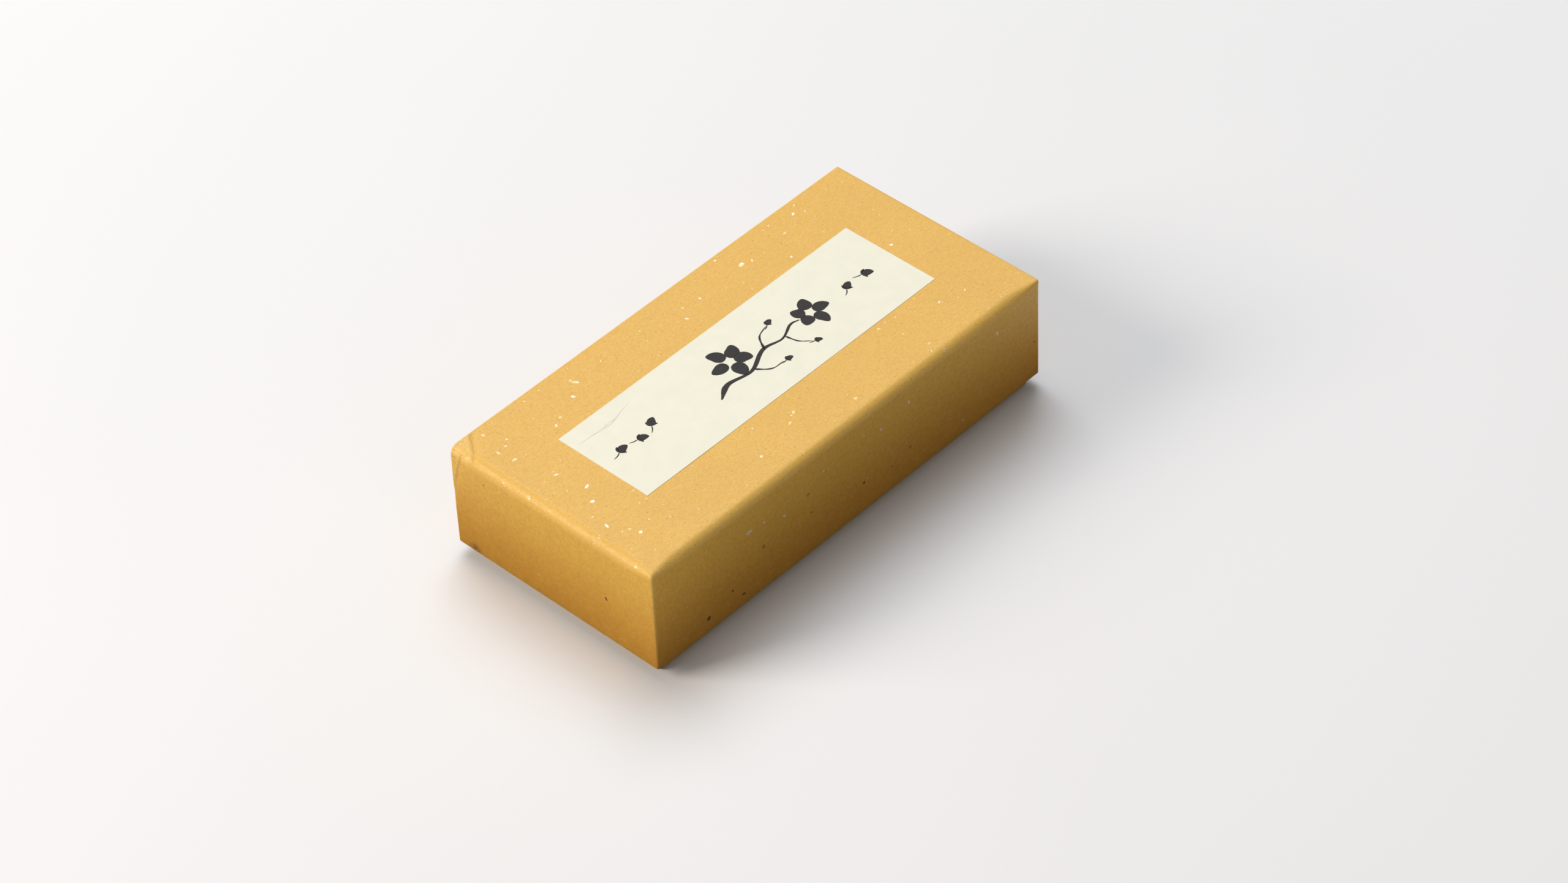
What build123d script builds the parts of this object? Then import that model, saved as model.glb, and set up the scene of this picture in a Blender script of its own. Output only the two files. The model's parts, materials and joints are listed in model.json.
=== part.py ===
"""Small set-up paper box with a full-depth lift-off lid, holding banded bundles of pressed charcoal sticks.

The box stands on Z = 0 with its long side along X. The lid and the tray are each a greyboard shell with paper
tape round its corners, wrapped in gold paper outside and lined with white paper inside.
"""
import os

from build123d import *

# The closed box, outside
BOX_LENGTH = 148.0
BOX_WIDTH = 72.5
BOX_HEIGHT = 36.8
LID_DEPTH = 33.2
EDGE_RADIUS = 1.5

# Sheet thicknesses
BOARD = 1.2
WRAP_PAPER = 0.2
LINING_PAPER = 0.15
CORNER_TAPE = 0.1
GLUE_LINE = 0.02
LABEL_PAPER = 0.12
BAND_PAPER = 0.15
INTERLEAF_PAPER = 0.15
LEAFLET_PAPER = 0.12

# How the paper goes over the edges
LID_TURN_IN = 12.0
TRAY_TURN_IN = 10.0
GOLD_EDGE_SHOWN = 4.0
BOTTOM_MARGIN = 9.0
BOTTOM_SHEET_INSET = 3.0
TAPE_REACH = 10.0
TAPE_END_GAP = 0.5

# Fits
LID_END_CLEARANCE = 1.0
LID_SIDE_CLEARANCE = 0.25
LID_REST_GAP = 0.15
LAYER_GAP = 0.05

# The label on the lid
LABEL_LENGTH = 109.6
LABEL_WIDTH = 31.9
LABEL_OFFSET = (1.4, 0.9)

# The contents
STICK_LENGTH = 67.0
STICK_WIDTH = 10.2
STICK_HEIGHT = 12.2
STICK_EDGE_RADIUS = 0.8
STICK_SPACING = 0.1
STICKS_IN_BUNDLE = 6
GROOVES_IN_STICK = 3
GROOVE_DEPTH = 0.9
BAND_WIDTH = 16.0
DIVIDER_CARD = 0.8
DIVIDER_TAB = 11.0
DIVIDER_FOLD_RADIUS = 1.0
PAD_SHEET = 0.3
FLUTE_PAPER = 0.25
FLUTE_RADIUS = 0.8
PAD_SIDE_GAP = 0.6
LEAFLET_LENGTH = 104.0
LEAFLET_WIDTH = 54.0
LEAFLET_FOLD_HEIGHT = 0.6

# Worked out from the sizes above
LID_WALL = WRAP_PAPER + BOARD + WRAP_PAPER + LINING_PAPER
TRAY_LENGTH = BOX_LENGTH - 2 * (LID_WALL + LID_END_CLEARANCE)
TRAY_WIDTH = BOX_WIDTH - 2 * (LID_WALL + LID_SIDE_CLEARANCE)
TRAY_HEIGHT = BOX_HEIGHT - WRAP_PAPER - BOARD - LINING_PAPER - LID_REST_GAP
TRAY_FLOOR = 2 * WRAP_PAPER + BOARD + LINING_PAPER
CLEAR_LENGTH = TRAY_LENGTH - 2 * LID_WALL
CLEAR_WIDTH = TRAY_WIDTH - 2 * LID_WALL
FLUTE_HEIGHT = 2 * FLUTE_RADIUS + FLUTE_PAPER
BUNDLE_WIDTH = STICKS_IN_BUNDLE * STICK_WIDTH + (STICKS_IN_BUNDLE - 1) * STICK_SPACING
COMPARTMENT_LENGTH = (CLEAR_LENGTH - DIVIDER_CARD) / 2
COMPARTMENT_CENTRE = (CLEAR_LENGTH + DIVIDER_CARD) / 4

# Heights of what lies in the tray, from the bottom up
BASE_PAD_LOW = TRAY_FLOOR + LAYER_GAP
LOWER_BUNDLE_LOW = BASE_PAD_LOW + PAD_SHEET + FLUTE_HEIGHT + LAYER_GAP
BUNDLE_HEIGHT = STICK_HEIGHT + 2 * BAND_PAPER
INTERLEAF_LOW = LOWER_BUNDLE_LOW + BUNDLE_HEIGHT + LAYER_GAP
UPPER_BUNDLE_LOW = INTERLEAF_LOW + INTERLEAF_PAPER + LAYER_GAP
COVER_PAD_LOW = UPPER_BUNDLE_LOW + BUNDLE_HEIGHT + LAYER_GAP
LEAFLET_LOW = COVER_PAD_LOW + FLUTE_HEIGHT + PAD_SHEET + LAYER_GAP
DIVIDER_HIGH = UPPER_BUNDLE_LOW + BUNDLE_HEIGHT - 1.0


def block(length, width, low, high):
    """A plain block centred on the Z axis, between two heights."""
    return Pos(0, 0, (low + high) / 2) * Box(length, width, high - low)


def rounded_tub(length, width, low, high, radius):
    """A block whose upright and bottom edges are rounded, as board is where it folds."""
    tub = block(length, width, low, high)
    top_edges = tub.faces().sort_by(Axis.Z)[-1].edges()
    return fillet(tub.edges() - top_edges, radius)


def stepped_hollow(length, width, floor, rim, turn_in, inset):
    """The space inside the walls, narrower by the inset where the wrap is turned in below the rim."""
    step = rim - turn_in
    lower = block(length, width, floor, step)
    upper = block(length - 2 * inset, width - 2 * inset, step, rim + 1)
    return lower + upper


def corner_strips(length, width, radius, inset, thickness, low, high):
    """Four strips folded round the upright corners of a block, each set in from the block's outside."""
    outer = RectangleRounded(length - 2 * inset, width - 2 * inset, radius - inset)
    depth = inset + thickness
    ring = outer - RectangleRounded(length - 2 * depth, width - 2 * depth, radius - depth)
    strips = []
    for side_x in (-1, 1):
        for side_y in (-1, 1):
            corner = Pos(side_x * length / 2, side_y * width / 2)
            strip = ring & corner * Rectangle(2 * TAPE_REACH, 2 * TAPE_REACH)
            strips.append(Pos(0, 0, low) * extrude(strip, high - low))
    return Compound(children=[strip.solid() for strip in strips])


def set_up_shell(length, width, height, turn_in, radius, panel_low):
    """Board, corner tapes, wrap and lining of one shell, open at the top, with its closed panel at the bottom.

    panel_low is the height of the panel's underside: the wrap lies below it.
    """
    board_top = height - WRAP_PAPER
    board_length = length - 2 * WRAP_PAPER
    board_width = width - 2 * WRAP_PAPER
    board_radius = radius - WRAP_PAPER
    hollow_length = board_length - 2 * BOARD
    hollow_width = board_width - 2 * BOARD
    floor = panel_low + BOARD

    board_block = rounded_tub(board_length, board_width, panel_low, board_top, board_radius)
    hollow = block(hollow_length, hollow_width, floor, board_top + 1)
    corners = (board_length, board_width, board_radius)
    tape_low = floor + TAPE_END_GAP
    tape_high = board_top - TAPE_END_GAP
    recess = corner_strips(*corners, 0, CORNER_TAPE + 2 * GLUE_LINE, tape_low - GLUE_LINE, tape_high + GLUE_LINE)
    tapes = corner_strips(*corners, GLUE_LINE, CORNER_TAPE, tape_low, tape_high)
    board = board_block - hollow - recess

    outside = rounded_tub(length, width, panel_low - WRAP_PAPER, height, radius)
    inside = stepped_hollow(hollow_length, hollow_width, floor, board_top, turn_in, WRAP_PAPER)
    wrap = outside - board_block + (hollow & outside)
    wrap = wrap - inside

    facing = inside & block(length, width, floor, board_top - GOLD_EDGE_SHOWN)
    clear = stepped_hollow(
        hollow_length - 2 * LINING_PAPER,
        hollow_width - 2 * LINING_PAPER,
        floor + LINING_PAPER,
        board_top - LINING_PAPER,
        turn_in,
        WRAP_PAPER,
    )
    lining = facing - clear
    return board, tapes, wrap, lining


def lid_parts():
    """The lid is the same shell turned over, with the label on its top."""
    shell = set_up_shell(BOX_LENGTH, BOX_WIDTH, LID_DEPTH, LID_TURN_IN, EDGE_RADIUS, WRAP_PAPER)
    turn = Pos(0, 0, BOX_HEIGHT) * Rot(180, 0, 0)
    turned = [Compound([turn * solid for solid in piece.solids()]) for piece in shell]
    label = Pos(*LABEL_OFFSET, 0) * block(LABEL_LENGTH, LABEL_WIDTH, BOX_HEIGHT, BOX_HEIGHT + LABEL_PAPER)
    return dict(zip(("lid_board", "lid_corner_tapes", "lid_wrap", "lid_lining"), turned)) | {"top_label": label}


def tray_parts():
    """The tray's wrap ends in a margin under the panel, which a bottom sheet covers."""
    radius = EDGE_RADIUS - WRAP_PAPER
    shell = set_up_shell(TRAY_LENGTH, TRAY_WIDTH, TRAY_HEIGHT, TRAY_TURN_IN, radius, 2 * WRAP_PAPER)
    board, tapes, wrap, lining = shell
    wrap = wrap - block(
        TRAY_LENGTH - 2 * BOTTOM_MARGIN,
        TRAY_WIDTH - 2 * BOTTOM_MARGIN,
        0,
        2 * WRAP_PAPER,
    )
    bottom_sheet = block(
        TRAY_LENGTH - 2 * BOTTOM_SHEET_INSET,
        TRAY_WIDTH - 2 * BOTTOM_SHEET_INSET,
        0,
        WRAP_PAPER,
    )
    return {
        "tray_board": board,
        "tray_corner_tapes": tapes,
        "tray_wrap": wrap,
        "tray_lining": lining,
        "tray_bottom_sheet": bottom_sheet,
    }


def divider():
    """A card strip across the tray, folded at each end into a tab that is glued to a long wall."""
    reach = CLEAR_WIDTH / 2 - LAYER_GAP - DIVIDER_CARD / 2
    run = FilletPolyline(
        (-DIVIDER_TAB, -reach),
        (0, -reach),
        (0, reach),
        (DIVIDER_TAB, reach),
        radius=DIVIDER_FOLD_RADIUS,
    )
    low = TRAY_FLOOR + LAYER_GAP
    return Pos(0, 0, low) * extrude(trace(run, DIVIDER_CARD), DIVIDER_HIGH - low)


def flutes(length, width):
    """A fluted sheet: half rings up and down in turn, run across the width. Its lowest point is at Z = 0."""
    count = 2 * int(length / (4 * FLUTE_RADIUS))
    middle = FLUTE_HEIGHT / 2
    arcs = []
    for number in range(count):
        left = (2 * number - count) * FLUTE_RADIUS
        crest = middle + FLUTE_RADIUS * (-1) ** number
        arcs.append(
            ThreePointArc(
                (left, middle),
                (left + FLUTE_RADIUS, crest),
                (left + 2 * FLUTE_RADIUS, middle),
            )
        )
    profile = trace(Curve() + arcs, FLUTE_PAPER)
    return extrude(Plane.XZ * profile, width / 2, both=True)


def corrugated_pad(length, width, low, sheet_on_top):
    """Single-face corrugated pad: a flat sheet and a fluted sheet, one on the other."""
    if sheet_on_top:
        sheet = block(length, width, low + FLUTE_HEIGHT, low + FLUTE_HEIGHT + PAD_SHEET)
        fluted = Pos(0, 0, low) * flutes(length, width)
    else:
        sheet = block(length, width, low, low + PAD_SHEET)
        fluted = Pos(0, 0, low + PAD_SHEET) * flutes(length, width)
    return sheet, fluted


def stick():
    """One pressed stick, its long edges rounded, with grooves across its top where it snaps."""
    bar = Box(STICK_LENGTH, STICK_WIDTH, STICK_HEIGHT)
    bar = fillet(bar.edges().filter_by(Axis.X), STICK_EDGE_RADIUS)
    pitch = STICK_LENGTH / (GROOVES_IN_STICK + 1)
    notch = Polygon((-GROOVE_DEPTH, 0), (GROOVE_DEPTH, 0), (0, -GROOVE_DEPTH), align=None)
    for number in range(1, GROOVES_IN_STICK + 1):
        place = Pos(-STICK_LENGTH / 2 + number * pitch, 0, STICK_HEIGHT / 2)
        bar = bar - place * extrude(Plane.XZ * notch, STICK_WIDTH, both=True)
    return bar


def band():
    """A paper band round the middle of a bundle."""
    inner_width = BUNDLE_WIDTH + STICK_SPACING
    outer = RectangleRounded(inner_width + 2 * BAND_PAPER, BUNDLE_HEIGHT, STICK_EDGE_RADIUS + BAND_PAPER)
    inner = RectangleRounded(inner_width, STICK_HEIGHT, STICK_EDGE_RADIUS)
    return extrude(Plane.YZ * (outer - inner), BAND_WIDTH / 2, both=True)


def bundle_parts(layer, low):
    """The banded sticks of one layer, in both compartments."""
    one_stick = stick()
    one_band = band()
    middle = low + BUNDLE_HEIGHT / 2
    parts = {}
    for side, sign in (("left", -1), ("right", 1)):
        centre_x = sign * COMPARTMENT_CENTRE
        parts[f"band_{layer}_{side}"] = Pos(centre_x, 0, middle) * one_band
        for number in range(STICKS_IN_BUNDLE):
            offset = (number - (STICKS_IN_BUNDLE - 1) / 2) * (STICK_WIDTH + STICK_SPACING)
            parts[f"stick_{layer}_{side}_{number + 1}"] = Pos(centre_x, offset, middle) * one_stick
    return parts


def packing_parts():
    """The divider, the pads and the sheets laid between and above the bundles."""
    parts = {"divider": divider()}
    pad_length = COMPARTMENT_LENGTH - 2 * PAD_SIDE_GAP
    pad_width = CLEAR_WIDTH - 2 * (DIVIDER_CARD + PAD_SIDE_GAP)
    sheet, fluted = corrugated_pad(pad_length, pad_width, BASE_PAD_LOW, sheet_on_top=False)
    interleaf = block(pad_length, pad_width, INTERLEAF_LOW, INTERLEAF_LOW + INTERLEAF_PAPER)
    for side, sign in (("left", -1), ("right", 1)):
        place = Pos(sign * COMPARTMENT_CENTRE, 0, 0)
        parts[f"base_pad_sheet_{side}"] = place * sheet
        parts[f"base_pad_flutes_{side}"] = place * fluted
        parts[f"interleaf_{side}"] = place * interleaf
    cover_length = CLEAR_LENGTH - 2 * PAD_SIDE_GAP
    cover_width = CLEAR_WIDTH - 2 * PAD_SIDE_GAP
    cover_sheet, cover_flutes = corrugated_pad(cover_length, cover_width, COVER_PAD_LOW, sheet_on_top=True)
    parts["cover_pad_sheet"] = cover_sheet
    parts["cover_pad_flutes"] = cover_flutes
    parts["leaflet"] = leaflet()
    return parts


def leaflet():
    """A sheet folded once along its length, its two leaves one above the other."""
    low = LEAFLET_PAPER / 2
    high = LEAFLET_FOLD_HEIGHT - LEAFLET_PAPER / 2
    fold = -LEAFLET_WIDTH / 2 + LEAFLET_FOLD_HEIGHT / 2
    free = LEAFLET_WIDTH / 2
    middle = LEAFLET_FOLD_HEIGHT / 2
    run = Curve() + [
        Line((free, low), (fold, low)),
        ThreePointArc((fold, low), (fold - (high - low) / 2, middle), (fold, high)),
        Line((fold, high), (free, high)),
    ]
    folded = extrude(Plane.YZ * trace(run, LEAFLET_PAPER), LEAFLET_LENGTH / 2, both=True)
    return Pos(0, 0, LEAFLET_LOW) * folded


def main():
    parts = lid_parts() | tray_parts() | packing_parts()
    parts |= bundle_parts("lower", LOWER_BUNDLE_LOW)
    parts |= bundle_parts("upper", UPPER_BUNDLE_LOW)
    os.makedirs("parts", exist_ok=True)
    for name, shape in parts.items():
        export_step(shape, f"parts/{name}.step")


main()
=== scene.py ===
"""Visual model of a gold-papered box with a lift-off lid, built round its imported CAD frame.

Lengths are in metres. The lid's wrap, board and tapes, the tray's wrap, the label and its brushwork, the
flecks, the leaflet and the charcoal sticks are meshes made here. The other pieces keep their CAD shape and
get a material.
"""
import json
import math
import random

import bmesh
import bpy
import numpy as np
from mathutils import Matrix, Vector, noise
from mathutils.bvhtree import BVHTree


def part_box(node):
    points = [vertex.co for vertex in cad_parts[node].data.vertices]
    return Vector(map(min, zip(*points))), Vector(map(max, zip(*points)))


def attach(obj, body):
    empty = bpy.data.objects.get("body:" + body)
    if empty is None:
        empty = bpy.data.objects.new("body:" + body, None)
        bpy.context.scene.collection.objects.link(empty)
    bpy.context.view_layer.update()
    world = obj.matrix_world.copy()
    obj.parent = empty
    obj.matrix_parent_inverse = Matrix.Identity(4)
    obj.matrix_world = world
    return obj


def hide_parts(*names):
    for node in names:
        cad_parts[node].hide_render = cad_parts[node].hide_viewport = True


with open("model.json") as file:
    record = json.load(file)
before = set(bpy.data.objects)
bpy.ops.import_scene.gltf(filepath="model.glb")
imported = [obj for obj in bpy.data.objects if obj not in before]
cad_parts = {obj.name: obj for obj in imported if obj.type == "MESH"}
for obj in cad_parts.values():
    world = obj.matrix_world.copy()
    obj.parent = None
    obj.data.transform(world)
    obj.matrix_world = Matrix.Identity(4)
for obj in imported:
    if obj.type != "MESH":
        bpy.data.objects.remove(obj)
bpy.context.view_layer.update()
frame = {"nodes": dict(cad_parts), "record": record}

MM = 0.001

# The lid and the tray, from the frame
LID_LOW, LID_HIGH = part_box("lid_wrap")
LID_SIZE = (LID_HIGH.x - LID_LOW.x, LID_HIGH.y - LID_LOW.y)
LID_RIM = LID_LOW.z
LID_TOP = LID_HIGH.z
TRAY_LOW, TRAY_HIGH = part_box("tray_wrap")
TRAY_SIZE = (TRAY_HIGH.x - TRAY_LOW.x, TRAY_HIGH.y - TRAY_LOW.y)
PAPER = LID_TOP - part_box("lid_board")[1].z
BOARD = 1.2 * MM
WALL = BOARD + 2 * PAPER
EDGE_RADIUS = 0.55 * MM
CORNER_RADIUS = 0.6 * MM
LID_TURN_IN = 12 * MM
TRAY_TURN_IN = 10 * MM
BOTTOM_MARGIN = 9 * MM
RIM_BEND = 0.35 * MM
INNER_CORNER = 0.12 * MM
CORNER_TAPE = 0.1 * MM
TAPE_REACH = 10 * MM
TAPE_GLUE = 0.02 * MM
SEAM_STEP = 0.07 * MM

# Mesh spacing
FINE = 0.28 * MM
MEDIUM = 0.6 * MM
COARSE = 1.8 * MM
FINE_REACH = 9 * MM
MERGE = 0.002 * MM
CORNER_STEPS = 6
EDGE_STEPS = 8

# The soft bends over the lid's -X and -Y top edges: radius at the low end, in the middle and at the high end
END_ROLL = (1.6 * MM, 3.2 * MM, 2.6 * MM)
FRONT_ROLL = (1.2 * MM, 2.8 * MM, 0.7 * MM)
ROLL_FADE = 10 * MM

# The knocked corner of the lid, at its -X +Y end, with a crease across the end and one across the top: how
# far from the corner each would cross the three edges, in X, Y and Z
KNOCK_CORNER = Vector((LID_LOW.x, LID_HIGH.y, LID_TOP))
END_CREASE = (12.0 * MM, 4.0 * MM, 13.6 * MM)
TOP_CREASE = (7.2 * MM, 9.0 * MM, 12.0 * MM)
KNOCK_DEPTH = 0.35 * MM
TIP_DEPTH = 0.3 * MM
CREASE_DEPTH = 0.22 * MM


# ---------------------------------------------------------------- mesh helpers

def make_object(name, vertices, faces, merge=0.0, sharp_degrees=40):
    """A closed mesh object with outward normals, smooth but for its sharp edges."""
    mesh = bpy.data.meshes.new(name)
    mesh.from_pydata([tuple(v) for v in vertices], [], faces)
    work = bmesh.new()
    work.from_mesh(mesh)
    if merge:
        bmesh.ops.remove_doubles(work, verts=work.verts, dist=merge)
        bmesh.ops.dissolve_degenerate(work, dist=merge, edges=work.edges)
    bmesh.ops.recalc_face_normals(work, faces=work.faces)
    work.to_mesh(mesh)
    work.free()
    mesh.shade_smooth()
    mesh.set_sharp_from_angle(angle=math.radians(sharp_degrees))
    thing = bpy.data.objects.new(name, mesh)
    bpy.context.scene.collection.objects.link(thing)
    return thing


def ring_faces(first, second, count):
    """Quads between two rings of vertices, given each ring's first vertex."""
    faces = []
    for number in range(count):
        after = (number + 1) % count
        faces.append((first + number, first + after, second + after, second + number))
    return faces


def grid_faces(start, rows, columns):
    """Quads between the vertices of a grid that are numbered row by row from start."""
    faces = []
    for row in range(rows - 1):
        for number in range(columns - 1):
            low = start + row * columns + number
            faces.append((low, low + 1, low + columns + 1, low + columns))
    return faces


def sheet_object(name, face_a, face_b, sharp_degrees=40):
    """A closed thin sheet from its two faces, grids of places with the same rows and columns."""
    rows, columns = face_a.shape[:2]
    count = rows * columns
    faces = grid_faces(0, rows, columns)
    faces += [tuple(count + k for k in quad[::-1]) for quad in faces]
    border = list(range(columns)) + [row * columns + columns - 1 for row in range(1, rows)]
    border += [(rows - 1) * columns + number for number in range(columns - 2, -1, -1)]
    border += [row * columns for row in range(rows - 2, 0, -1)]
    for first, second in zip(border, border[1:] + border[:1]):
        faces.append((first, second, count + second, count + first))
    vertices = np.concatenate([face_a.reshape(-1, 3), face_b.reshape(-1, 3)])
    return make_object(name, vertices, faces, sharp_degrees=sharp_degrees)


def place(thing, body, slot, material, *replaced):
    """Puts a finished piece on its body, in place of the CAD nodes it stands for."""
    thing.data.materials.append(material)
    if replaced:
        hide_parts(*replaced)
    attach(thing, body)


def set_attribute(thing, name, values):
    """Stores one number per vertex for the material to read."""
    attribute = thing.data.attributes.new(name, "FLOAT", "POINT")
    attribute.data.foreach_set("value", np.asarray(values, np.float32))


def vertex_array(thing, kind):
    """The places ("co") or normals ("normal") of an object's vertices as rows of x, y, z."""
    count = len(thing.data.vertices)
    flat = np.empty(count * 3)
    thing.data.vertices.foreach_get(kind, flat)
    return flat.reshape(count, 3)


def smooth_step(value):
    """0 below 0, 1 above 1, smooth between."""
    value = np.clip(value, 0.0, 1.0)
    return value * value * (3 - 2 * value)


def noise_at(points, size, seed):
    """Smooth noise from -1 to 1 at each point, with features of about the given size."""
    shift = Vector((seed * 7.31, seed * 3.17, seed * 5.73))
    return np.array([noise.noise(Vector(p) / size + shift) for p in points])


def grid_lines(half, low_step, high_step, coarse):
    """Places from -half to half, low_step apart near the low end and high_step apart near the high end."""
    low = np.arange(0, FINE_REACH, low_step)
    high = np.arange(0, FINE_REACH, high_step)
    count = round((2 * half - 2 * FINE_REACH) / coarse)
    middle = np.linspace(-half + FINE_REACH, half - FINE_REACH, count + 1)
    return np.concatenate([-half + low, middle, half - high[::-1]])


def column(x, y):
    """Rows of x, y from two arrays, or an array and a number."""
    x, y = np.broadcast_arrays(x, y)
    return np.column_stack([x, y])


def rounded_loop(size, lines, inset, corner, height):
    """Points round a rounded rectangle that is inset from size; every loop has the same number of points."""
    reach_x = size[0] / 2 - inset - corner
    reach_y = size[1] / 2 - inset - corner
    side_x = reach_x + corner
    side_y = reach_y + corner
    along_x = np.clip(lines[0], -reach_x, reach_x)
    along_y = np.clip(lines[1], -reach_y, reach_y)
    turn = np.linspace(0, math.pi / 2, CORNER_STEPS + 1)[1:-1]

    def arc(centre_x, centre_y, start):
        return column(centre_x + corner * np.cos(start + turn), centre_y + corner * np.sin(start + turn))

    flat = np.concatenate([
        column(along_x, -side_y),
        arc(reach_x, -reach_y, -math.pi / 2),
        column(side_x, along_y),
        arc(reach_x, reach_y, 0),
        column(along_x[::-1], side_y),
        arc(-reach_x, reach_y, math.pi / 2),
        column(-side_x, along_y[::-1]),
        arc(-reach_x, -reach_y, math.pi),
    ])
    return np.column_stack([flat, np.full(len(flat), height)])


def tub_mesh(size, lines, profile, caps):
    """Vertices and faces of loops joined in the order of profile, rows of (inset, corner, height).

    With caps, a grid closes the first and the last loop. Without, the last loop joins the first.
    """
    loops = [rounded_loop(size, lines, *row) for row in profile]
    count = len(loops[0])
    vertices = list(np.concatenate(loops))
    faces = []
    for number in range(len(loops) - 1):
        faces += ring_faces(number * count, (number + 1) * count, count)
    if not caps:
        faces += ring_faces((len(loops) - 1) * count, 0, count)
        return np.array(vertices), faces
    for inset, _, height in (profile[0], profile[-1]):
        start = len(vertices)
        xs = np.clip(lines[0], -size[0] / 2 + inset, size[0] / 2 - inset)
        ys = np.clip(lines[1], -size[1] / 2 + inset, size[1] / 2 - inset)
        vertices.extend((x, y, height) for x in xs for y in ys)
        faces += grid_faces(start, len(xs), len(ys))
    return np.array(vertices), faces


def edge_profile(depth, top):
    """Rows from the flat top over its rounded edge to the wall, for a skin that lies depth inside the box."""
    radius = EDGE_RADIUS - depth
    rows = []
    for angle in np.linspace(0, math.pi / 2, EDGE_STEPS + 1):
        inset = depth + radius * (1 - math.sin(angle))
        rows.append((inset, corner_at(inset), top - radius * (1 - math.cos(angle))))
    return rows


def corner_at(inset):
    """Plan radius of an upright corner at some depth in the box's skin."""
    return max(CORNER_RADIUS - inset, INNER_CORNER)


def wall_heights(high, low, fine):
    """Heights down a wall from below high to low, fine steps apart near the top."""
    near = np.arange(high - fine, high - FINE_REACH, -fine)
    count = round((near[-1] - low) / COARSE)
    return np.concatenate([near, np.linspace(near[-1], low, count + 1)[1:]])


def rim_profile(rim):
    """Rows from the outer wall round the rim to the inner wall."""
    rows = []
    for angle in np.linspace(0, math.pi / 2, 5):
        inset = RIM_BEND * (1 - math.cos(angle))
        rows.append((inset, corner_at(inset), rim + RIM_BEND * (1 - math.sin(angle))))
    for angle in np.linspace(math.pi / 2, 0, 5):
        inset = WALL - RIM_BEND * (1 - math.cos(angle))
        rows.append((inset, INNER_CORNER, rim + RIM_BEND * (1 - math.sin(angle))))
    return rows


# ---------------------------------------------------------------- how the lid's paper and board are bent

def outward(points, size, top):
    """Outward direction of the box's skin at each point; zero inside the skin."""
    inner = np.array([size[0] / 2 - EDGE_RADIUS, size[1] / 2 - EDGE_RADIUS])
    base = points.copy()
    base[:, 0] = np.clip(points[:, 0], -inner[0], inner[0])
    base[:, 1] = np.clip(points[:, 1], -inner[1], inner[1])
    base[:, 2] = np.minimum(points[:, 2], top - EDGE_RADIUS)
    offset = points - base
    length = np.linalg.norm(offset, axis=1)
    return offset / np.maximum(length, 0.4 * MM)[:, None]


def edge_share(points, size, top):
    """0 on the flat faces, rising towards the middle of the rounded edges and corners."""
    return 1 - np.abs(outward(points, size, top)).max(axis=1)


def top_sag(points):
    """How far the lid's top lies below flat, from 0 to about 0.12 mm."""
    across = 1 - (2 * points[:, 0] / LID_SIZE[0]) ** 2
    along = 1 - (2 * points[:, 1] / LID_SIZE[1]) ** 2
    bow = np.clip(across, 0, 1) * np.clip(along, 0, 1)
    ripple = noise_at(points, 22 * MM, 1)
    return MM * np.clip(0.06 * bow + 0.035 * (1 + ripple) * np.sqrt(bow), 0, None)


def crease_share(points, reach):
    """How far each point is from the knocked corner, as a share of the way to a slightly wavering crease."""
    away = np.abs(points - np.array(KNOCK_CORNER)) / np.array(reach)
    return away.sum(axis=1) + 0.06 * noise_at(points, 2.6 * MM, 5)


def crease_profile(share):
    """How far a face is pushed in: it slopes down to the corner, behind a groove with a gentle far side."""
    beyond = share - 1.16
    width = np.where(beyond < 0, 0.1, 0.28)
    return KNOCK_DEPTH * np.clip(1 - share, 0, 1) + CREASE_DEPTH * np.exp(-(beyond / width) ** 2)


def knocked(points, normals):
    """Presses in the tip of the knocked corner and creases the end and the top beside it."""
    from_side = LID_SIZE[1] / 2 - points[:, 1]
    on_end = np.clip(-normals[:, 0], 0, 1)
    on_top = np.clip(normals[:, 2], 0, 1) * smooth_step(from_side / (1.6 * MM))
    depth = on_end * crease_profile(crease_share(points, END_CREASE))
    depth += on_top * crease_profile(crease_share(points, TOP_CREASE))
    distance = np.linalg.norm(points - np.array(KNOCK_CORNER), axis=1)
    tip = TIP_DEPTH * np.exp(-(distance / (1.6 * MM)) ** 2)
    crumple = 0.03 * MM * noise_at(points, 1.2 * MM, 6) * smooth_step(2 - distance / (4.5 * MM))
    return points + tip[:, None] * np.array((0.6, -0.4, -0.7)) - (depth + np.abs(crumple))[:, None] * normals


def rolled(points, across, radii):
    """Widens the bend over the top edge on an axis's low side; each point keeps its depth in the skin."""
    along = 1 - across
    past_low = smooth_step((points[:, along] + LID_SIZE[along] / 2) / ROLL_FADE)
    past_high = smooth_step((LID_SIZE[along] / 2 - points[:, along]) / ROLL_FADE)
    low, middle, high = radii
    radius = middle + (low - middle) * (1 - past_low) + (high - middle) * (1 - past_high)
    inwards = LID_SIZE[across] / 2 + points[:, across]
    below = LID_TOP - points[:, 2]
    tight = np.hypot(inwards - EDGE_RADIUS, below - EDGE_RADIUS)
    in_bend = (inwards < EDGE_RADIUS) & (below < EDGE_RADIUS)
    depth = np.where(in_bend, EDGE_RADIUS - tight, np.minimum(inwards, below))
    wide = np.hypot(inwards - radius, below - radius)
    near = (inwards < radius) & (below < radius) & (depth < BOARD)
    scale = np.where(near, (radius - depth) / np.maximum(wide, 0.01 * MM), 1.0)
    moved = points.copy()
    moved[:, across] = radius + (inwards - radius) * scale - LID_SIZE[across] / 2
    moved[:, 2] = LID_TOP - radius - (below - radius) * scale
    return moved


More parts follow.
